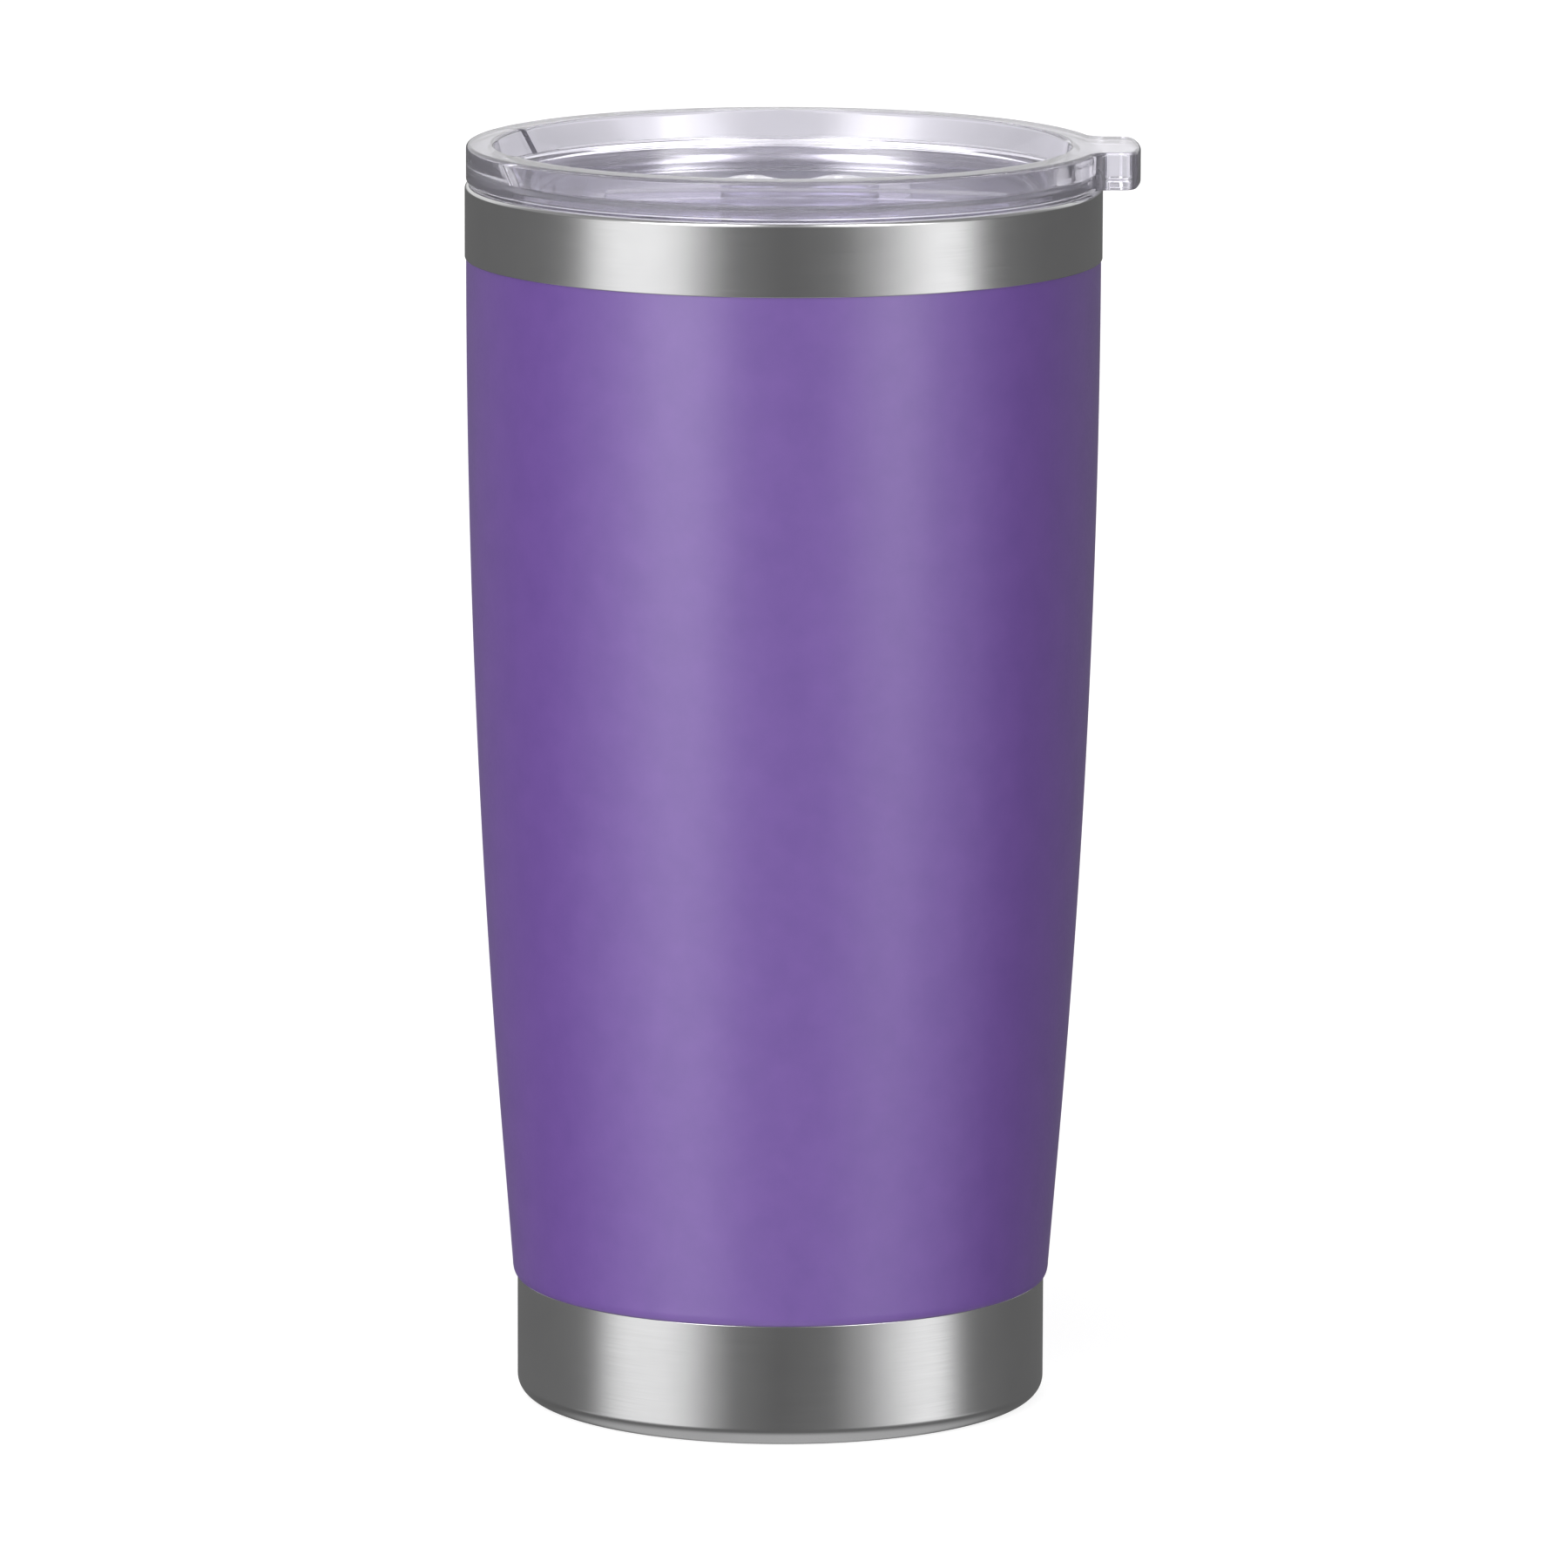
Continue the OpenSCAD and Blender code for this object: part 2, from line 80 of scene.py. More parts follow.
RIM_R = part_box("outer_shell")[1].y
CUP_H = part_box("outer_shell")[1].z
COAT_LOW, COAT_HIGH = (corner.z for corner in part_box("powder_coat"))
COAT_TOP_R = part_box("powder_coat")[1].y
FOOT_INNER_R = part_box("outer_bottom")[1].y
BASE_R = 36.35 * MM
TAPER_Z = 35 * MM
BELLY_RADIUS = 1.53
STEEL = 0.5 * MM
COAT = 0.2 * MM
VACUUM_GAP = 3 * MM
SHOULDER_H = 1.6 * MM
WALL_START = 0.8 * MM     # the arc of the wall starts this far above the shoulder
RIM_BLEND = 2 * MM        # the shell's inside runs out to the rim ring over this height
MOUTH_R = 40.6 * MM
LIP_R = 0.6 * MM
MOUTH_LENGTH = 13 * MM
MOUTH_BLEND = 9 * MM
LINER_FLOOR = 9 * MM
LINER_CORNER_R = 6 * MM
LINER_SEAM = 24 * MM
FOOT_CORNER_R = 2.5 * MM
HEM_BEND_R = 1 * MM
HEM_H = 3.4 * MM

LID_LOW, LID_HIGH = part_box("lid_body")
LID_R = LID_HIGH.y
LID_TOP = LID_HIGH.z
LID_UNDER = LID_LOW.z
TAB_REACH = LID_HIGH.x
LID_GAP = 0.3 * MM
FLOOR_T = 2.3 * MM
PLUG_CLEAR = 0.3 * MM
FLANGE_Z = CUP_H + LID_GAP
FLOOR_Z = LID_UNDER + FLOOR_T
PLUG_R = MOUTH_R - PLUG_CLEAR
PLUG_BEVEL = 0.4 * MM
WELL_TOP_R = 39 * MM
LEDGE_Z = LID_TOP - 3.6 * MM
LEDGE_R = 38.5 * MM
LEDGE_SOFT = 1.1 * MM
WELL_LOW_R = 37.9 * MM
WELL_FLOOR_R = 37.3 * MM
WELL_FILLET = 1.2 * MM
EDGE_R = 0.6 * MM
TAB_HALF = 9.75 * MM
TAB_CORNER_R = 2.4 * MM
TAB_ROOT_R = 2.6 * MM
SCOOP_DEPTH = 0.4 * MM
SCOOP_HALF_TOP = 15.5 * MM
SCOOP_HALF_LOW = 18 * MM
BEAD_W = 2 * MM
BEAD_RISE = 0.3 * MM

GASKET_LOW, GASKET_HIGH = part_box("lid_gasket")
GROOVE_R = MOUTH_R - 1.9 * MM
GROOVE_CLEAR = 0.1 * MM
GASKET_BAND = 0.9 * MM
GASKET_LIP_SPACE = 1.65 * MM
GASKET_LIP_HALF = 0.5 * MM

SLIDER_LOW, SLIDER_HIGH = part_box("slider")
SLIDER_HALF = SLIDER_HIGH.y
SLIDER_FRONT_R = 36.4 * MM
PLATE_GAP = 0.3 * MM
PLATE_Z = FLOOR_Z + PLATE_GAP
PLATE_T = 1.7 * MM
PLATE_STEP = 0.3 * MM     # the plate's long edges are this much thinner
PLATE_STEP_W = 1.2 * MM
PLATE_END_X = 17.5 * MM
PLATE_CORNER_R = 5 * MM
PLATE_EDGE_R = 0.25 * MM
OVER = 1 * MM             # cutting shapes reach this far past the faces they cut

ROUND = 8          # spans of a small fillet
TURN = 288         # spans round the axis


# ---- meshes ---------------------------------------------------------------------------

def arc(centre, radius, start, stop, spans=ROUND):
    """Points of an arc in the (radius, height) plane, angles in degrees."""
    points = []
    for i in range(spans + 1):
        angle = math.radians(start + (stop - start) * i / spans)
        points.append((centre[0] + radius * math.cos(angle), centre[1] + radius * math.sin(angle)))
    return points


def finish_mesh(name, bm, body, node, sharp=34):
    """Turns a bmesh into a piece that rides on a body and stands for a CAD node."""
    bmesh.ops.remove_doubles(bm, verts=bm.verts, dist=1e-7)
    bmesh.ops.recalc_face_normals(bm, faces=bm.faces)
    mesh = bpy.data.meshes.new(name)
    bm.to_mesh(mesh)
    bm.free()
    mesh.shade_smooth()
    mesh.set_sharp_from_angle(angle=math.radians(sharp))
    piece = bpy.data.objects.new(name, mesh)
    bpy.context.scene.collection.objects.link(piece)
    if node:
        weigh_normals(piece)
        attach(piece, body)
        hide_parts(node)
    return piece


def weigh_normals(piece):
    """Keeps flat faces flat where they meet a small fillet."""
    modifier = piece.modifiers.new("weighted_normals", "WEIGHTED_NORMAL")
    modifier.keep_sharp = True
    modifier.weight = 60


def bridge(bm, ring_a, ring_b):
    """Faces between two rings; a ring of one vertex is a pole."""
    count = max(len(ring_a), len(ring_b))
    if count == 1:
        return
    for i in range(count):
        j = (i + 1) % count
        corners = [ring_a[i % len(ring_a)], ring_a[j % len(ring_a)],
                   ring_b[j % len(ring_b)], ring_b[i % len(ring_b)]]
        unique = list(dict.fromkeys(corners))
        if len(unique) > 2:
            bm.faces.new(unique)


def lathe(outline, spans=TURN):
    """A closed (radius, height) outline turned round the axis."""
    bm = bmesh.new()
    rings = []
    for radius, height in outline:
        if radius < 1e-9:
            rings.append([bm.verts.new((0, 0, height))])
            continue
        rings.append([bm.verts.new((radius * math.cos(math.tau * i / spans),
                                    radius * math.sin(math.tau * i / spans), height))
                      for i in range(spans)])
    for ring, following in zip(rings, rings[1:] + rings[:1]):
        bridge(bm, ring, following)
    return bm


def loft(outline, levels, centre=(0.0, 0.0)):
    """A closed solid over a plan outline of (point, normal) pairs.

    Each level is (inset, scale, height); height is a number or a function of x and y.
    """
    bm = bmesh.new()
    rings = []
    middle = Vector(centre)
    for inset, scale, height in levels:
        ring = []
        for point, normal in outline:
            spot = middle + (point - normal * inset - middle) * scale
            level = height(spot.x, spot.y) if callable(height) else height
            ring.append(bm.verts.new((spot.x, spot.y, level)))
        rings.append(ring)
    for ring, following in zip(rings, rings[1:]):
        bridge(bm, ring, following)
    bm.faces.new(rings[0])
    bm.faces.new(rings[-1])
    return bm


def rounded_rectangle(low, high, radius, spans=ROUND):
    """Plan outline as (point, outward normal) pairs, with straight sides cut into short runs."""
    outline = []
    corners = ((high[0] - radius, high[1] - radius, 0), (low[0] + radius, high[1] - radius, 90),
               (low[0] + radius, low[1] + radius, 180), (high[0] - radius, low[1] + radius, 270))
    for index, (x, y, start) in enumerate(corners):
        for i in range(spans + 1):
            angle = math.radians(start + 90 * i / spans)
            normal = Vector((math.cos(angle), math.sin(angle)))
            outline.append((Vector((x, y)) + normal * radius, normal))
        here = outline[-1]
        x2, y2, start2 = corners[(index + 1) % 4]
        normal = here[1]
        goal = Vector((x2, y2)) + normal * radius
        runs = 10
        for i in range(1, runs):
            outline.append((here[0].lerp(goal, i / runs), normal))
    return outline


def circle_outline(centre, radius, spans=32):
    """Plan outline of a circle, as (point, outward normal) pairs."""
    outline = []
    for i in range(spans):
        angle = math.tau * i / spans
        normal = Vector((math.cos(angle), math.sin(angle)))
        outline.append((Vector(centre) + normal * radius, normal))
    return outline


def slab_levels(low, high, edge):
    """Levels of a plain slab with both its edges rounded."""
    levels = []
    for i in range(ROUND // 2 + 1):
        angle = math.pi / 2 * i / (ROUND // 2)
        levels.append((edge * (1 - math.sin(angle)), 1, low + edge * (1 - math.cos(angle))))
    for i in range(ROUND // 2 + 1):
        angle = math.pi / 2 * i / (ROUND // 2)
        levels.append((edge * (1 - math.cos(angle)), 1, high - edge * (1 - math.sin(angle))))
    return levels


def combine(target, tool_bm, operation):
    """Cuts or joins a closed mesh into the target's own mesh."""
    tool = finish_mesh("tool", tool_bm, None, None)
    modifier = target.modifiers.new("combine", "BOOLEAN")
    modifier.operation = operation
    modifier.solver = "EXACT"
    modifier.object = tool
    bpy.context.view_layer.update()
    evaluated = target.evaluated_get(bpy.context.evaluated_depsgraph_get())
    mesh = bpy.data.meshes.new_from_object(evaluated)
    target.modifiers.remove(modifier)
    old = target.data
    target.data = mesh
    mesh.name = old.name
    bpy.data.meshes.remove(old)
    bpy.data.objects.remove(tool)


def settle(piece, body, node, sharp=34):
    """Finishes a piece that was made with combine()."""
    piece.data.shade_smooth()
    piece.data.set_sharp_from_angle(angle=math.radians(sharp))
    weigh_normals(piece)
    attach(piece, body)
    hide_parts(node)


# ---- cup ------------------------------------------------------------------------------

def wall_r(height):
    """Outside radius of the painted wall: a shallow arc that runs into a straight taper."""
    rise = COAT_HIGH - max(height, TAPER_Z)
    drop = BELLY_RADIUS - math.sqrt(BELLY_RADIUS ** 2 - rise ** 2)
    slope = (COAT_HIGH - TAPER_Z) / BELLY_RADIUS
    return COAT_TOP_R - drop - slope * max(TAPER_Z - height, 0)


def wall(low, high, inset, spans=40):
    points = []
    for i in range(spans + 1):
        height = low + (high - low) * i / spans
        points.append((wall_r(height) - inset, height))
    return points


def coat_face(inset):
    """Outer face of the coat, or of the steel under it, from the shoulder up."""
    top = COAT_LOW + SHOULDER_H
    points = []
    for i in range(ROUND + 1):
        angle = math.pi / 2 * i / ROUND
        points.append((BASE_R + (wall_r(top) - BASE_R) * math.sin(angle) - inset,
                       COAT_LOW + SHOULDER_H * (1 - math.cos(angle))))
    return points + wall(top + WALL_START, COAT_HIGH, inset)


WALL_STACK = COAT + 2 * STEEL + VACUUM_GAP
LIP_CROWN_R = RIM_R - LIP_R


def make_outer_shell():
    hem_in = FOOT_INNER_R
    ring_edge = 0.12 * MM
    outside = ([(hem_in, HEM_H)]
               + arc((hem_in + HEM_BEND_R, HEM_BEND_R), HEM_BEND_R, 180, 270)
               + arc((BASE_R - FOOT_CORNER_R, FOOT_CORNER_R), FOOT_CORNER_R, 270, 360, 2 * ROUND)
               + [(BASE_R, COAT_LOW - ring_edge)]
               + arc((BASE_R - ring_edge, COAT_LOW - ring_edge), ring_edge, 0, 90, 4)
               + coat_face(COAT)
               + arc((RIM_R - ring_edge, COAT_HIGH + ring_edge), ring_edge, 270, 360, 4)
               + arc((LIP_CROWN_R, CUP_H - LIP_R), LIP_R, 0, 90))
    inside = (arc((LIP_CROWN_R, CUP_H - LIP_R), LIP_R - STEEL, 90, 0)
              + [(RIM_R - STEEL, COAT_HIGH + RIM_BLEND)]
              + wall(COAT_LOW + SHOULDER_H, COAT_HIGH, COAT + STEEL)[::-1]
              + [(BASE_R - STEEL, COAT_LOW)]
              + arc((BASE_R - FOOT_CORNER_R, FOOT_CORNER_R), FOOT_CORNER_R - STEEL, 360, 270)
              + arc((hem_in + HEM_BEND_R, HEM_BEND_R), HEM_BEND_R - STEEL, 270, 180)
              + [(hem_in + STEEL, HEM_H)])
    return finish_mesh("shell", lathe(outside + inside), "cup", "outer_shell")


def make_coat():
    return finish_mesh("coat", lathe(coat_face(0) + coat_face(COAT * 0.98)[::-1]), "cup", "powder_coat")


def make_liner():
    mouth_z = CUP_H - LIP_R - MOUTH_LENGTH
    blend_z = mouth_z - MOUTH_BLEND
    curve = LIP_CROWN_R - MOUTH_R

    def step(start_r, end_r):
        """Soft step between the straight mouth and the tapering tube."""
        points = []
        for i in range(ROUND + 1):
            t = i / ROUND
            ease = t * t * (3 - 2 * t)
            points.append((start_r + (end_r - start_r) * ease, mouth_z + (blend_z - mouth_z) * t))
        return points

    inside = (arc((LIP_CROWN_R, CUP_H - curve), curve, 90, 180)
              + step(MOUTH_R, wall_r(blend_z) - WALL_STACK)
              + wall(LINER_SEAM, blend_z, WALL_STACK)[::-1])
    outside = (wall(LINER_SEAM, blend_z, WALL_STACK - STEEL)
               + step(MOUTH_R + STEEL, wall_r(blend_z) - WALL_STACK + STEEL)[::-1]
               + arc((LIP_CROWN_R, CUP_H - curve), curve - STEEL, 180, 90))
    return finish_mesh("liner", lathe(inside + outside), "cup", "inner_liner")


def make_liner_bottom():
    corner_z = LINER_FLOOR + LINER_CORNER_R
    tube_z = corner_z + 1 * MM
    corner = (wall_r(corner_z) - WALL_STACK - LINER_CORNER_R, corner_z)
    inside = ([(0, LINER_FLOOR)] + arc(corner, LINER_CORNER_R, 270, 360, 2 * ROUND)
              + wall(tube_z, LINER_SEAM, WALL_STACK, 4))
    outside = (wall(tube_z, LINER_SEAM, WALL_STACK - STEEL, 4)[::-1]
               + arc(corner, LINER_CORNER_R + STEEL, 360, 270, 2 * ROUND)
               + [(0, LINER_FLOOR - STEEL)])
    return finish_mesh("liner_cup", lathe(inside + outside), "cup", "liner_bottom")


def make_base_cover():
    """Pressed cover with a stamped ring and a rolled edge."""
    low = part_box("base_cover")[0].z
    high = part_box("base_cover")[1].z
    edge = 0.6 * MM
    groove_r = 22 * MM
    depth = 0.35 * MM
    half = 1 * MM
    land = 2.4 * half       # from the stamped ring's middle to where the flat beside it ends
    tuck = 0.1 * MM         # the inner bend is this much wider

    def face(lift):
        points = [(0, low + lift), (groove_r - land, low + lift)]
        for i in range(2 * ROUND + 1):
            t = i / (2 * ROUND)
            rise = depth * (1 - math.cos(math.tau * t)) / 2
            points.append((groove_r - half + 2 * half * t, low + lift + rise))
        return points + [(groove_r + land, low + lift)]

    outline = (face(0) + arc((FOOT_INNER_R - edge, low + edge), edge, 270, 360)
               + [(FOOT_INNER_R, high), (FOOT_INNER_R - STEEL, high)]
               + arc((FOOT_INNER_R - edge - tuck, low + edge), edge - STEEL + tuck, 0, -90, 3)
               + face(STEEL)[::-1])
    return finish_mesh("cover", lathe(outline), "cup", "base_cover")


# ---- lid ------------------------------------------------------------------------------

def lid_outline():
    """Plan outline of the flange with its finger tab, as (point, outward normal) pairs."""
    half = []
    corner_r = TAB_REACH - TAB_CORNER_R
    corner_y = TAB_HALF - TAB_CORNER_R
    corner_x = math.sqrt(corner_r ** 2 - corner_y ** 2)
    turn = math.atan2(corner_y, corner_x)
    end_spans = 8
    for i in range(end_spans):
        angle = turn * i / end_spans
        normal = Vector((math.cos(angle), math.sin(angle)))
        half.append((normal * TAB_REACH, normal))
    for i in range(ROUND + 1):
        angle = turn + (math.pi / 2 - turn) * i / ROUND
        normal = Vector((math.cos(angle), math.sin(angle)))
        half.append((Vector((corner_x, corner_y)) + normal * TAB_CORNER_R, normal))
    root_y = TAB_HALF + TAB_ROOT_R
    root_x = math.sqrt((LID_R + TAB_ROOT_R) ** 2 - root_y ** 2)
    root_turn = math.atan2(root_y, root_x)
    for i in range(ROUND + 1):
        angle = -math.pi / 2 - (math.pi / 2 - root_turn) * i / ROUND
        direction = Vector((math.cos(angle), math.sin(angle)))
        half.append((Vector((root_x, root_y)) + direction * TAB_ROOT_R, -direction))
    for angle in rim_angles(root_turn):
        normal = Vector((math.cos(angle), math.sin(angle)))
        half.append((normal * LID_R, normal))
    mirrored = []
    for point, normal in half[1:-1]:
        mirrored.append((Vector((point.x, -point.y)), Vector((normal.x, -normal.y))))
    return half + mirrored[::-1]


SCOOP_EDGE = math.asin(SCOOP_HALF_TOP / WELL_TOP_R)
SCOOP_SOFT = math.radians(0.2)
BEAD_TURN = BEAD_W / WELL_TOP_R


def rim_angles(start):
    """Angles along the plain rim, from the tab's root round to the back of the sip scoop."""
    bead = math.pi - SCOOP_EDGE - BEAD_TURN / 2
    coarse = math.radians(1.5)
    fine = math.radians(0.1)
    angles = []
    angle = start + coarse / 2
    while angle < math.pi - 1e-6:
        angles.append(angle)
        near = abs(angle - bead) < BEAD_TURN / 2 + SCOOP_SOFT + coarse
        angle += fine if near else coarse
    return angles + [math.pi]


def scoop_warp(away, height):
    """Moves a column's angle from -X so that the scoop's end wall leans outwards downwards."""
    share = min(max((LID_TOP - height) / (LID_TOP - LEDGE_Z), 0), 1)
    half = SCOOP_HALF_TOP + (SCOOP_HALF_LOW - SCOOP_HALF_TOP) * share
    edge = math.asin(half / WELL_TOP_R)
    limit = SCOOP_EDGE + math.radians(24)
    if away <= SCOOP_EDGE:
        return away * edge / SCOOP_EDGE
    if away >= limit:
        return away
    return edge + (away - SCOOP_EDGE) * (limit - edge) / (limit - SCOOP_EDGE)


def soft_step(angle):
    """Rises from 0 to 1 as an angle passes zero."""
    t = min(max((angle + SCOOP_SOFT) / (2 * SCOOP_SOFT), 0), 1)
    return t * t * (3 - 2 * t)


def scoop_shift(away):
    """How far the well's wall is set back at an angle from -X: the scoop, then the bead that ends it."""
    in_scoop = soft_step(SCOOP_EDGE - away)
    on_bead = soft_step(SCOOP_EDGE + BEAD_TURN - away) - in_scoop
    return SCOOP_DEPTH * in_scoop - BEAD_RISE * on_bead


def lid_bowl():
    """Flange, tab, well and plug: rings of one cross-section swept round the plan outline."""
    outline = lid_outline()
    bm = bmesh.new()
    rings = []

    def edge_ring(inset, height):
        rings.append([bm.verts.new((*(point - normal * inset), height)) for point, normal in outline])

    def round_ring(radius, height, scooped=False):
        ring = []
        for point, _ in outline:
            angle = math.atan2(point.y, point.x)
            r = radius
            if scooped:
                side = 1 if angle >= 0 else -1
                away = math.pi - abs(angle)
                r += scoop_shift(away)
                angle = side * (math.pi - scoop_warp(away, height))
            ring.append(bm.verts.new((r * math.cos(angle), r * math.sin(angle), height)))
        rings.append(ring)

    for inset, height in arc((0, 0), EDGE_R, 0, 90):
        edge_ring(EDGE_R - height, FLANGE_Z + EDGE_R - inset)
    for inset, height in arc((0, 0), EDGE_R, 0, 90):
        edge_ring(EDGE_R - inset, LID_TOP - EDGE_R + height)
    for radius, height in arc((WELL_TOP_R + EDGE_R, LID_TOP - EDGE_R), EDGE_R, 90, 180):
        round_ring(radius, height, True)
    ledge_corner = 0.05 * MM
    round_ring(LEDGE_R + ledge_corner, LEDGE_Z + ledge_corner, True)
    for i in range(ROUND + 1):
        t = i / ROUND
        round_ring(LEDGE_R + (WELL_LOW_R - LEDGE_R) * t * t * (3 - 2 * t), LEDGE_Z - LEDGE_SOFT * t)
    floor_corner = (WELL_FLOOR_R - WELL_FILLET, FLOOR_Z + WELL_FILLET)
    for radius, height in arc(floor_corner, WELL_FILLET, 0, -90):
        round_ring(radius, height)
    rings.append([bm.verts.new((0, 0, FLOOR_Z))])
    rings.append([bm.verts.new((0, 0, LID_UNDER))])
    groove_low = GASKET_LOW.z - GROOVE_CLEAR
    groove_high = GASKET_HIGH.z + GROOVE_CLEAR
    round_ring(PLUG_R - PLUG_BEVEL, LID_UNDER)
    for radius, height in ((PLUG_R, LID_UNDER + PLUG_BEVEL), (PLUG_R, groove_low), (GROOVE_R, groove_low),
                           (GROOVE_R, groove_high), (PLUG_R, groove_high), (PLUG_R, FLANGE_Z)):
        round_ring(radius, height)
    for ring, following in zip(rings, rings[1:] + rings[:1]):
        bridge(bm, ring, following)
    return bm


RAIL_INNER = SLIDER_HALF + 0.35 * MM
RAIL_T = 1.6 * MM
RAIL_H = 3.4 * MM
RAIL_LIP = 0.9 * MM
RAIL_LIP_GAP = 0.1 * MM
RAIL_SINK = 0.2 * MM      # the rails' feet run this far into the floor
RAIL_EDGE_R = 0.2 * MM
RAIL_X = (-24 * MM, 30 * MM)
SIP_X = (-35.5 * MM, -27.5 * MM)
SIP_HALF = 9 * MM
VENT_X = 33.5 * MM
VENT_R = 1.2 * MM
STEM_X = 1.4 * MM
STEM_HALF = 2.5 * MM
SLOT_CLEAR = 0.4 * MM
SIP_CORNER_R = 2.5 * MM
STEM_CORNER_R = 0.3 * MM
SLIDER_TRAVEL = frame["joints"][1]["range_m"][1]


def rail(side):
    """One guide rail: a wall with a lip over the slider's edge."""
    lip_z = PLATE_Z + PLATE_T + RAIL_LIP_GAP
    foot_z = FLOOR_Z - RAIL_SINK
    outer = side * (RAIL_INNER + RAIL_T)
    inner = side * RAIL_INNER
    lip = side * (RAIL_INNER - RAIL_LIP)
    section = [(outer, foot_z), (outer, FLOOR_Z + RAIL_H), (lip, FLOOR_Z + RAIL_H),
               (lip, lip_z), (inner, lip_z), (inner, foot_z)]
    bm = bmesh.new()
    ends = [[bm.verts.new((x, y, z)) for y, z in section] for x in RAIL_X]
    bridge(bm, ends[0], ends[1])
    for end in ends:
        bm.faces.new(end)
    bmesh.ops.recalc_face_normals(bm, faces=bm.faces)
    edges = [e for e in bm.edges if min(v.co.z for v in e.verts) > FLOOR_Z]
    bmesh.ops.bevel(bm, geom=edges, offset=RAIL_EDGE_R, segments=3, profile=0.5, affect="EDGES")
    return bm


def make_lid():
    lid = finish_mesh("clear_lid", lid_bowl(), None, None)
    for side in (-1, 1):
        combine(lid, rail(side), "UNION")
    cut = [(0, 1, LID_UNDER - OVER), (0, 1, FLOOR_Z + OVER)]
    sip = rounded_rectangle((SIP_X[0], -SIP_HALF), (SIP_X[1], SIP_HALF), SIP_CORNER_R)
    slot_low = STEM_X - STEM_HALF - SLOT_CLEAR
    slot_high = STEM_X + STEM_HALF + SLIDER_TRAVEL + SLOT_CLEAR
    slot_half = STEM_HALF + SLOT_CLEAR
    slot = rounded_rectangle((slot_low, -slot_half), (slot_high, slot_half), STEM_CORNER_R, 3)
    vent = circle_outline((VENT_X, 0), VENT_R)
    for outline in (sip, slot, vent):
        combine(lid, loft(outline, cut), "DIFFERENCE")
    settle(lid, "lid", "lid_body")
    return lid


def make_gasket():
    """Silicone band with two rounded sealing lips."""
    inner_r = GROOVE_R + 0.03 * MM      # a hair off the groove, so that the two faces stay apart
    band_r = inner_r + GASKET_BAND
    tip_r = 0.2 * MM
    middle = (GASKET_LOW.z + GASKET_HIGH.z) / 2
    outline = [(inner_r, GASKET_LOW.z), (band_r, GASKET_LOW.z)]
    for side in (-1, 1):
        lip_z = middle + side * GASKET_LIP_SPACE / 2
        outline.append((band_r, lip_z - GASKET_LIP_HALF))
        outline += arc((GASKET_HIGH.y - tip_r, lip_z), tip_r, -70, 70, 6)
        outline.append((band_r, lip_z + GASKET_LIP_HALF))
    outline += [(band_r, GASKET_HIGH.z), (inner_r, GASKET_HIGH.z)]
    return finish_mesh("gasket", lathe(outline), "lid", "lid_gasket")


# ---- slider ---------------------------------------------------------------------------

GRIP_X = (-8.6 * MM, 13 * MM)
GRIP_HALF = 8.5 * MM
GRIP_PEAKS = (-4.4 * MM, 7.2 * MM)
GRIP_CREST_R = (12 * MM, 20 * MM)
GRIP_HOLLOW = 0.8 * MM
GRIP_DOME_R = 22 * MM
GRIP_EDGE_R = 1 * MM
GRIP_CORNER_R = 2 * MM


def grip_top(x, y):
    """Top of the thumb grip: a crest at each peak, a hollow between, domed across."""
    top = SLIDER_HIGH.z - y * y / (2 * GRIP_DOME_R)
    if x < GRIP_PEAKS[0]:
        return top - (x - GRIP_PEAKS[0]) ** 2 / (2 * GRIP_CREST_R[0])
    if x > GRIP_PEAKS[1]:
        return top - (x - GRIP_PEAKS[1]) ** 2 / (2 * GRIP_CREST_R[1])
    turn = math.tau * (x - GRIP_PEAKS[0]) / (GRIP_PEAKS[1] - GRIP_PEAKS[0])
    return top - GRIP_HOLLOW * (1 - math.cos(turn)) / 2


def thumb_grip():
    edge = GRIP_EDGE_R
    outline = rounded_rectangle((GRIP_X[0], -GRIP_HALF), (GRIP_X[1], GRIP_HALF), GRIP_CORNER_R)
    centre = ((GRIP_X[0] + GRIP_X[1]) / 2, 0)
    levels = [(0, 1, PLATE_Z + PLATE_T / 2), (0, 1, lambda x, y: grip_top(x, y) - edge)]
    for i in range(1, ROUND + 1):
        angle = math.pi / 2 * i / ROUND
        inset = edge * (1 - math.cos(angle))
        fall = edge * (1 - math.sin(angle))
        levels.append((inset, 1, lambda x, y, fall=fall: grip_top(x, y) - fall))
    inner_rings = 14
    for i in range(1, inner_rings):
        levels.append((edge, 1 - i / inner_rings, grip_top))
    return loft(outline, levels, centre)


def slider_outline():
    """Plan outline of the plate: rounded corners at the tab end, a round front at the sip end."""
    corner = PLATE_CORNER_R
    turn = math.asin(SLIDER_HALF / SLIDER_FRONT_R)
    outline = []
    for side in (-1, 1):
        for i in range(ROUND + 1):
            t = i / ROUND if side > 0 else 1 - i / ROUND
            angle = side * math.pi / 2 * t
            normal = Vector((math.cos(angle), math.sin(angle)))
            centre = Vector((PLATE_END_X - corner, side * (SLIDER_HALF - corner)))
            outline.append((centre + normal * corner, normal))
    front_spans = 24
    for i in range(front_spans + 1):
        angle = math.pi - turn + 2 * turn * i / front_spans
        normal = Vector((math.cos(angle), math.sin(angle)))
        outline.append((normal * SLIDER_FRONT_R, normal))
    return outline


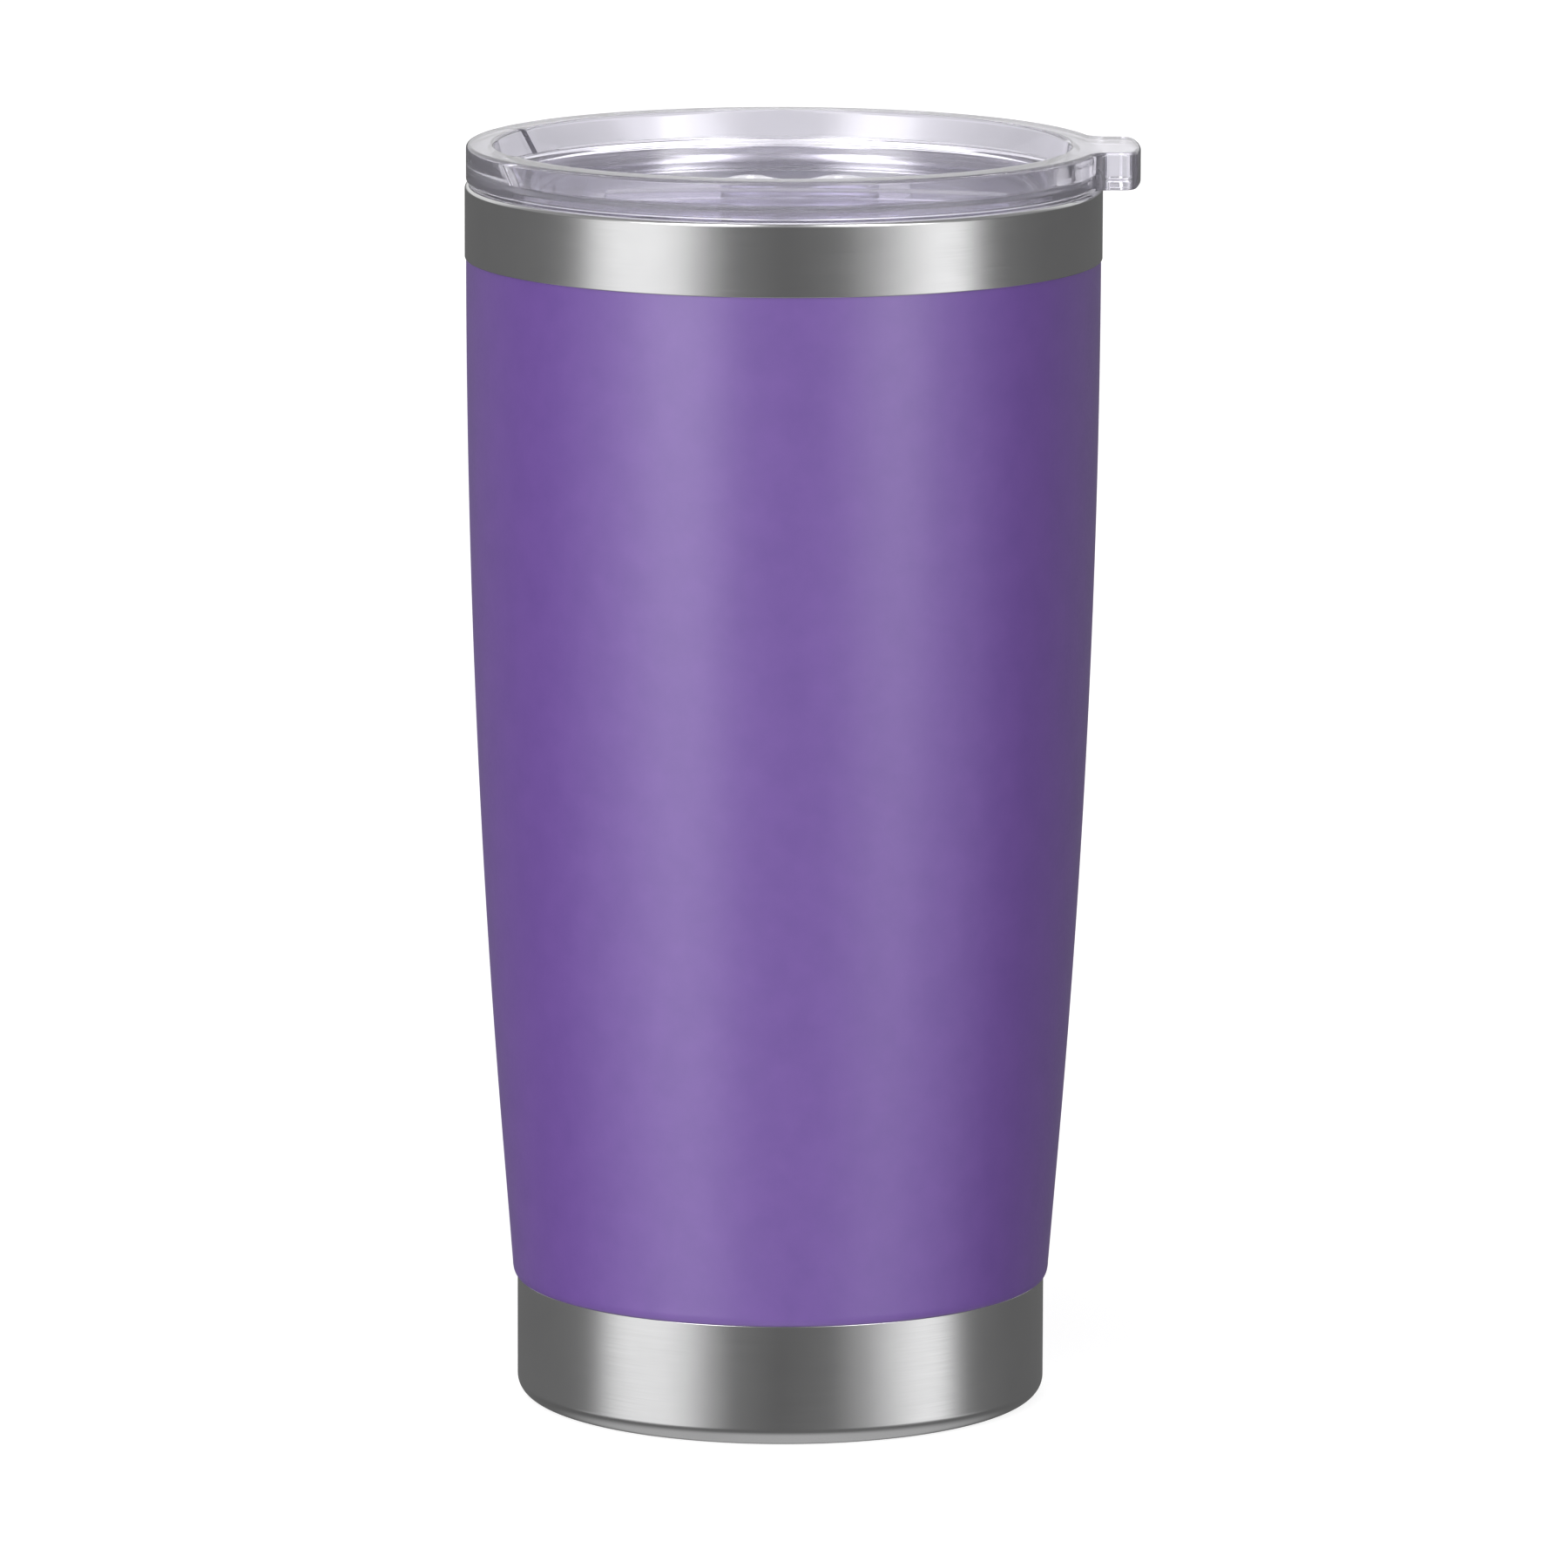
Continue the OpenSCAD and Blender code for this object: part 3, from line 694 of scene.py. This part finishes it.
def make_slider():
    plate = loft(slider_outline(), slab_levels(PLATE_Z, PLATE_Z + PLATE_T, PLATE_EDGE_R))
    slider = finish_mesh("clear_slider", plate, None, None)
    cut = [(0, 1, PLATE_Z + PLATE_T - PLATE_STEP), (0, 1, PLATE_Z + PLATE_T + PLATE_STEP)]
    for side in (-1, 1):
        step = rounded_rectangle((-WELL_TOP_R, side * SLIDER_HALF - PLATE_STEP_W),
                                 (WELL_TOP_R, side * SLIDER_HALF + PLATE_STEP_W), 0.2 * MM, 2)
        combine(slider, loft(step, cut), "DIFFERENCE")
    combine(slider, thumb_grip(), "UNION")
    stem = rounded_rectangle((STEM_X - STEM_HALF, -STEM_HALF), (STEM_X + STEM_HALF, STEM_HALF),
                             STEM_CORNER_R, 3)
    combine(slider, loft(stem, [(0, 1, SLIDER_LOW.z), (0, 1, PLATE_Z + PLATE_T / 2)]), "UNION")
    settle(slider, "closure", "slider")
    return slider


def make_retainer():
    low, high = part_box("slider_retainer")
    outline = rounded_rectangle((low.x, low.y), (high.x, high.y), 2 * MM)
    slab = loft(outline, slab_levels(low.z, high.z, 0.3 * MM), (STEM_X, 0))
    retainer = finish_mesh("retainer", slab, None, None)
    half = STEM_HALF + 0.03 * MM        # a hair off the stem
    hole = rounded_rectangle((STEM_X - half, -half), (STEM_X + half, half), STEM_CORNER_R, 3)
    combine(retainer, loft(hole, [(0, 1, low.z - OVER), (0, 1, high.z + OVER)]), "DIFFERENCE")
    settle(retainer, "closure", "slider_retainer")
    return retainer


# ---- materials ------------------------------------------------------------------------

def new_material(name):
    material = bpy.data.materials.new(name)
    material.use_nodes = True
    tree = material.node_tree
    shader = tree.nodes["Principled BSDF"]
    return material, tree, shader


def noise(tree, vector, scale, detail=4.0, roughness=0.6):
    node = tree.nodes.new("ShaderNodeTexNoise")
    node.inputs["Scale"].default_value = scale
    node.inputs["Detail"].default_value = detail
    node.inputs["Roughness"].default_value = roughness
    tree.links.new(vector, node.inputs["Vector"])
    return node.outputs["Fac"]


def remap(tree, value, low, high):
    node = tree.nodes.new("ShaderNodeMapRange")
    node.inputs["From Min"].default_value = 0.3
    node.inputs["From Max"].default_value = 0.7
    node.inputs["To Min"].default_value = low
    node.inputs["To Max"].default_value = high
    tree.links.new(value, node.inputs["Value"])
    return node.outputs["Result"]


def object_coordinates(tree, stretch=(1, 1, 1)):
    coordinates = tree.nodes.new("ShaderNodeTexCoord")
    mapping = tree.nodes.new("ShaderNodeMapping")
    mapping.inputs["Scale"].default_value = stretch
    tree.links.new(coordinates.outputs["Object"], mapping.inputs["Vector"])
    return mapping.outputs["Vector"]


def tint(tree, value, dark, light):
    """Colour between two shades, driven by a noise."""
    ramp = tree.nodes.new("ShaderNodeValToRGB")
    ramp.color_ramp.elements[0].position = 0.3
    ramp.color_ramp.elements[0].color = (*dark, 1)
    ramp.color_ramp.elements[1].position = 0.7
    ramp.color_ramp.elements[1].color = (*light, 1)
    tree.links.new(value, ramp.inputs["Fac"])
    return ramp.outputs["Color"]


def bump(tree, shader, height, strength, distance):
    node = tree.nodes.new("ShaderNodeBump")
    node.inputs["Strength"].default_value = strength
    node.inputs["Distance"].default_value = distance
    tree.links.new(height, node.inputs["Height"])
    tree.links.new(node.outputs["Normal"], shader.inputs["Normal"])


def brush(tree, shader, anisotropy):
    """Stretches highlights upwards, as a grain that runs round the axis does."""
    shader.inputs["Anisotropic"].default_value = anisotropy
    shader.inputs["Anisotropic Rotation"].default_value = 0.25
    tangent = tree.nodes.new("ShaderNodeTangent")
    tangent.direction_type = "RADIAL"
    tangent.axis = "Z"
    tree.links.new(tangent.outputs["Tangent"], shader.inputs["Tangent"])


def steel_material(name, dark, light, roughness, anisotropy=0.2):
    """Satin stainless steel, brushed round the axis."""
    material, tree, shader = new_material(name)
    shader.inputs["Metallic"].default_value = 1.0
    brush(tree, shader, anisotropy)
    brushing = noise(tree, object_coordinates(tree, (1, 1, 60)), 90, 6.0, 0.7)
    cloud = noise(tree, object_coordinates(tree), 60, 3.0)
    tree.links.new(tint(tree, cloud, dark, light), shader.inputs["Base Color"])
    tree.links.new(remap(tree, brushing, roughness - 0.03, roughness + 0.03), shader.inputs["Roughness"])
    bump(tree, shader, brushing, 0.05, 0.02 * MM)
    return material


def coat_material():
    """Violet powder coat: satin, with the fine orange-peel speckle of a baked powder.

    A powder coat has no grain and a lower index than this. The stretched highlight, the index and
    the specular level are chosen for the look, and aren't measured values of the real coat.
    """
    material, tree, shader = new_material("violet_powder_coat")
    place = object_coordinates(tree)
    speckle = noise(tree, place, 1500, 3.0, 0.7)
    mottle = noise(tree, place, 220, 4.0, 0.6)
    tree.links.new(tint(tree, mottle, (0.139, 0.062, 0.316), (0.159, 0.072, 0.345)),
                   shader.inputs["Base Color"])
    tree.links.new(remap(tree, speckle, 0.33, 0.39), shader.inputs["Roughness"])
    shader.inputs["IOR"].default_value = 1.75
    shader.inputs["Specular IOR Level"].default_value = 0.8
    brush(tree, shader, 0.8)
    bump(tree, shader, speckle, 0.25, 0.03 * MM)
    return material


def clear_material(name, colour, roughness):
    """Clear moulded plastic with a faint cool tint and fine handling marks."""
    material, tree, shader = new_material(name)
    shader.inputs["Transmission Weight"].default_value = 0.9
    shader.inputs["IOR"].default_value = 1.5
    place = object_coordinates(tree)
    cloud = noise(tree, place, 40, 3.0)
    marks = noise(tree, object_coordinates(tree, (1, 1, 6)), 160, 6.0, 0.75)
    light = tuple(min(c * 1.01, 1.0) for c in colour)
    tree.links.new(tint(tree, cloud, colour, light), shader.inputs["Base Color"])
    tree.links.new(remap(tree, marks, roughness, roughness + 0.03), shader.inputs["Roughness"])
    bump(tree, shader, cloud, 0.12, 0.05 * MM)
    return material


def silicone_material():
    material, tree, shader = new_material("translucent_silicone")
    place = object_coordinates(tree)
    cloud = noise(tree, place, 120, 3.0)
    shader.inputs["Transmission Weight"].default_value = 0.55
    shader.inputs["IOR"].default_value = 1.41
    tree.links.new(tint(tree, cloud, (0.78, 0.79, 0.82), (0.86, 0.87, 0.90)), shader.inputs["Base Color"])
    tree.links.new(remap(tree, cloud, 0.35, 0.45), shader.inputs["Roughness"])
    bump(tree, shader, cloud, 0.1, 0.03 * MM)
    return material


def grainy_material(name, dark, light, roughness, metallic):
    """Unpolished metal, powder and solder glass of the hidden pieces in the walls and the base."""
    material, tree, shader = new_material(name)
    shader.inputs["Metallic"].default_value = metallic
    place = object_coordinates(tree)
    grain = noise(tree, place, 500, 5.0, 0.7)
    tree.links.new(tint(tree, grain, dark, light), shader.inputs["Base Color"])
    tree.links.new(remap(tree, grain, roughness - 0.05, roughness + 0.08), shader.inputs["Roughness"])
    bump(tree, shader, grain, 0.2, 0.03 * MM)
    return material


def paint(piece, material):
    piece.data.materials.clear()
    piece.data.materials.append(material)


# ---- studio ---------------------------------------------------------------------------

def band(tree, azimuth, stops):
    """Brightness as a function of azimuth in radians: straight runs between (degrees, value) stops."""
    reach = stops[-1][0]
    share = calculate(tree, "DIVIDE", azimuth, 2 * math.radians(reach))
    inside = calculate(tree, "MINIMUM", calculate(tree, "MAXIMUM", share, -0.5), 0.5)
    curve = tree.nodes.new("ShaderNodeFloatCurve")
    line = curve.mapping.curves[0]
    curve.mapping.extend = "HORIZONTAL"
    first, last = stops[0], stops[-1]
    line.points[0].location = (0.0, first[1])
    line.points[1].location = (1.0, last[1])
    for degrees, value in stops[1:-1]:
        line.points.new(0.5 + degrees / (2 * reach), value)
    for point in line.points:
        point.handle_type = "VECTOR"
    curve.mapping.update()
    tree.links.new(calculate(tree, "ADD", inside, 0.5), curve.inputs["Value"])
    return curve.outputs["Value"]


def calculate(tree, operation, first, second=None):
    node = tree.nodes.new("ShaderNodeMath")
    node.operation = operation
    for socket, value in zip(node.inputs, (first, second)):
        if value is None:
            continue
        if isinstance(value, (int, float)):
            socket.default_value = value
        else:
            tree.links.new(value, socket)
    return node.outputs["Value"]


def ramp(tree, value, low, high, to_low, to_high, interpolation="SMOOTHSTEP"):
    node = tree.nodes.new("ShaderNodeMapRange")
    node.interpolation_type = interpolation
    for name, number in (("From Min", low), ("From Max", high), ("To Min", to_low), ("To Max", to_high)):
        node.inputs[name].default_value = number
    tree.links.new(value, node.inputs["Value"])
    return node.outputs["Result"]


# Azimuths are seen from the object: 0 is towards the camera, negative to the camera's left.
# What the polished and satin surfaces mirror:
SIDE_PANELS = ((-180, 0.12), (-146, 0.13), (-104, 0.15), (-92, 0.17), (-84, 0.24), (-74, 0.82), (-66, 1.0),
               (-50, 1.0), (-40, 0.82), (-30, 0.42), (-20, 0.16), (0, 0.11), (22, 0.15), (37, 0.38),
               (52, 0.82), (62, 1.08), (71, 1.08), (77, 0.55), (83, 0.20), (92, 0.15), (115, 0.12),
               (146, 0.12), (180, 0.12))
# The soft light that falls on matt surfaces, brightest from the front left:
SOFT_LIGHT = ((-180, 0.7), (-160, 0.6), (-132, 0.06), (-112, 0.08), (-82, 0.5), (-52, 0.87), (-22, 1.0),
              (8, 0.90), (38, 0.6), (68, 0.1), (145, 0.05), (165, 0.6), (180, 0.7))
PANEL_LEVEL = 1.42
SOFT_LEVEL = 1.4
CEILING_LEVEL = 0.3
SKYLIGHT_LEVEL = 1.0       # the ceiling as it shines through the lid into the cup
TABLE_LEVELS = (0.6, 0.16)  # straight below, and towards the horizon
PANEL_TOP = 4.6            # the panels' upper halves are this much brighter
PANEL_TOP_CONTRAST = 1.35  # and fall off faster beside their middles
# The panels lean towards each other: their spread at their feet and at their tops
PANEL_FEET_Z, PANEL_TOPS_Z = -0.35, 0.6
PANEL_SPREAD = (0.77, 1.98)
# The backdrop, by angle from straight behind the object: two bright strips on a pale grey wall,
# and what stands above them. They are chosen for the camera's own view through the lid, and serve
# no other view.
BACKDROP = ((-24, 1.0), (-14, 1.0), (-6.6, 0.78), (-3.2, 0.80), (-2.1, 0.88), (-1.7, 1.22), (-0.75, 1.22),
            (-0.45, 0.88), (0.4, 0.88), (0.75, 1.22), (1.35, 1.20), (1.8, 0.98), (2.6, 0.82), (4.2, 0.76),
            (6.6, 0.85), (14, 1.0), (24, 1.0))
BACKDROP_TOP = ((-24, 1.0), (-14, 0.8), (-6, 0.4), (-3.2, 0.6), (-2.3, 2.2), (-0.9, 2.2), (-0.5, 0.4),
                (0.4, 0.4), (0.8, 2.4), (2.8, 2.4), (3.6, 0.6), (6, 0.4), (14, 0.8), (24, 1.0))
WHITE_WALL = 1.0   # and as the polished faces mirror it
# Where one part of the surroundings fades into the next, as components of the ray's direction
PANEL_TOPS_FADE = (0.03, 0.16)
CEILING_FADE = (0.75, 0.95)
TABLE_FADE = (-0.42, -0.2)
TABLE_DEPTH = (-0.85, -0.5)
BEHIND_FADE = (0.3, 0.7)
ABOVE_FADE = (0.0, 0.1)


def choose(tree, factor, when_zero, when_one):
    node = tree.nodes.new("ShaderNodeMix")
    node.data_type = "FLOAT"
    tree.links.new(factor, node.inputs[0])
    for socket, value in ((node.inputs[2], when_zero), (node.inputs[3], when_one)):
        if isinstance(value, (int, float)):
            socket.default_value = value
        else:
            tree.links.new(value, socket)
    return node.outputs[0]


def make_world():
    """Studio light that each kind of ray sees in its own way.

    Mirrored rays see two tall side panels, a ceiling, a table and a white wall behind, diffuse rays
    see soft front light, rays through the lid see the striped backdrop where they run to the back,
    and the camera sees plain white.
    Levels and strips are chosen by comparing renders at the camera's own angle.
    """
    world = bpy.data.worlds.new("studio")
    bpy.context.scene.world = world
    world.use_nodes = True
    tree = world.node_tree
    tree.nodes.clear()
    direction = tree.nodes.new("ShaderNodeTexCoord").outputs["Generated"]
    split = tree.nodes.new("ShaderNodeSeparateXYZ")
    tree.links.new(direction, split.inputs["Vector"])
    x, y, z = (split.outputs[axis] for axis in "XYZ")
    azimuth = calculate(tree, "ARCTAN2", x, calculate(tree, "MULTIPLY", y, -1.0))
    soft = calculate(tree, "MULTIPLY", band(tree, azimuth, SOFT_LIGHT), SOFT_LEVEL)
    lean = ramp(tree, z, PANEL_FEET_Z, PANEL_TOPS_Z, *PANEL_SPREAD, "LINEAR")
    panels = band(tree, calculate(tree, "MULTIPLY", azimuth, lean), SIDE_PANELS)
    tops = calculate(tree, "MULTIPLY", calculate(tree, "POWER", panels, PANEL_TOP_CONTRAST), PANEL_TOP)
    panels = choose(tree, ramp(tree, z, *PANEL_TOPS_FADE, 0.0, 1.0), panels, tops)
    panels = calculate(tree, "MULTIPLY", panels, PANEL_LEVEL)
    path = tree.nodes.new("ShaderNodeLightPath")
    ceiling = choose(tree, path.outputs["Is Transmission Ray"], CEILING_LEVEL, SKYLIGHT_LEVEL)
    table = ramp(tree, z, *TABLE_DEPTH, *TABLE_LEVELS)
    mirrored = choose(tree, ramp(tree, z, *CEILING_FADE, 0.0, 1.0), panels, ceiling)
    mirrored = choose(tree, ramp(tree, z, *TABLE_FADE, 1.0, 0.0), mirrored, table)
    aside = calculate(tree, "ARCTAN2", x, y)
    behind = ramp(tree, y, *BEHIND_FADE, 0.0, 1.0)
    above = ramp(tree, z, *ABOVE_FADE, 0.0, 1.0)
    mirrored = choose(tree, calculate(tree, "MULTIPLY", behind, above), mirrored, WHITE_WALL)
    backdrop = choose(tree, above, band(tree, aside, BACKDROP), band(tree, aside, BACKDROP_TOP))
    through = calculate(tree, "MULTIPLY", behind, path.outputs["Is Transmission Ray"])
    mirrored = choose(tree, through, mirrored, backdrop)
    lit = choose(tree, path.outputs["Is Diffuse Ray"], mirrored, soft)
    seen = path.outputs["Is Camera Ray"]
    background = tree.nodes.new("ShaderNodeBackground")
    tree.links.new(choose(tree, seen, lit, 1.0), background.inputs["Strength"])
    output = tree.nodes.new("ShaderNodeOutputWorld")
    tree.links.new(background.outputs["Background"], output.inputs["Surface"])


LIGHT_ELEVATION = 40
LIGHT_DISTANCE = 2.2
LIGHT_SIZE = 1.4
LIGHT_POWER = 4


def make_light(name, azimuth):
    """Square soft light aimed at the middle of the cup, which polished faces don't mirror."""
    data = bpy.data.lights.new(name, "AREA")
    data.shape = "SQUARE"
    data.size = LIGHT_SIZE
    data.energy = LIGHT_POWER
    light = bpy.data.objects.new(name, data)
    bpy.context.scene.collection.objects.link(light)
    a = math.radians(azimuth)
    e = math.radians(LIGHT_ELEVATION)
    away = Vector((math.sin(a) * math.cos(e), -math.cos(a) * math.cos(e), math.sin(e)))
    light.location = Vector((0, 0, CUP_H / 2)) + away * LIGHT_DISTANCE
    light.rotation_mode = "QUATERNION"
    light.rotation_quaternion = away.to_track_quat("Z", "Y")
    light.visible_glossy = False


def make_floor():
    """Pale floor, seen by the camera only; the lid and the steel see the studio's backdrop instead."""
    size = 4.0
    bm = bmesh.new()
    bmesh.ops.create_grid(bm, x_segments=1, y_segments=1, size=size)
    mesh = bpy.data.meshes.new("floor")
    bm.to_mesh(mesh)
    bm.free()
    floor = bpy.data.objects.new("floor", mesh)
    bpy.context.scene.collection.objects.link(floor)
    material, tree, shader = new_material("pale_floor")
    shader.inputs["Base Color"].default_value = (0.4, 0.4, 0.4, 1)
    shader.inputs["Roughness"].default_value = 0.9
    shader.inputs["Specular IOR Level"].default_value = 0.0
    shader.inputs["Emission Color"].default_value = (1, 1, 1, 1)
    shader.inputs["Emission Strength"].default_value = 0.8
    see_through = tree.nodes.new("ShaderNodeBsdfTransparent")
    mix = tree.nodes.new("ShaderNodeMixShader")
    back = tree.nodes.new("ShaderNodeNewGeometry")
    tree.links.new(back.outputs["Backfacing"], mix.inputs["Fac"])
    tree.links.new(shader.outputs["BSDF"], mix.inputs[1])
    tree.links.new(see_through.outputs["BSDF"], mix.inputs[2])
    tree.links.new(mix.outputs["Shader"], tree.nodes["Material Output"].inputs["Surface"])
    mesh.materials.append(material)
    floor.visible_glossy = False
    floor.visible_diffuse = False
    floor.visible_transmission = False


# ---- build ----------------------------------------------------------------------------

steel = steel_material("satin_steel", (0.70, 0.70, 0.705), (0.76, 0.76, 0.765), 0.19)
steel_inside = steel_material("satin_steel_inside", (0.66, 0.66, 0.65), (0.72, 0.72, 0.71), 0.26)
clear = clear_material("clear_plastic", (0.915, 0.895, 0.985), 0.03)

paint(make_outer_shell(), steel)
paint(make_coat(), coat_material())
paint(make_liner(), steel_inside)
paint(make_liner_bottom(), steel_inside)
paint(make_base_cover(), steel)
paint(make_lid(), clear)
paint(make_gasket(), silicone_material())
paint(make_slider(), clear)
paint(make_retainer(), clear)
for node, name, dark, light, roughness, metallic in (
        ("outer_bottom", "rolled_sheet", (0.50, 0.50, 0.49), (0.60, 0.60, 0.59), 0.35, 1.0),
        ("reflective_foil", "foil", (0.78, 0.78, 0.76), (0.86, 0.86, 0.84), 0.18, 1.0),
        ("getter_pellet", "pressed_powder", (0.05, 0.05, 0.05), (0.09, 0.09, 0.09), 0.8, 1.0),
        ("getter_clip", "clip_strip", (0.42, 0.42, 0.42), (0.52, 0.52, 0.51), 0.4, 1.0),
        ("seal_bead", "solder_glass", (0.05, 0.07, 0.06), (0.08, 0.11, 0.09), 0.25, 0.0)):
    paint(nodes[node], grainy_material(name, dark, light, roughness, metallic))

make_world()
make_light("front_key", -20)
make_light("back_fill", 180)
make_floor()
bpy.context.scene.view_settings.view_transform = "Standard"
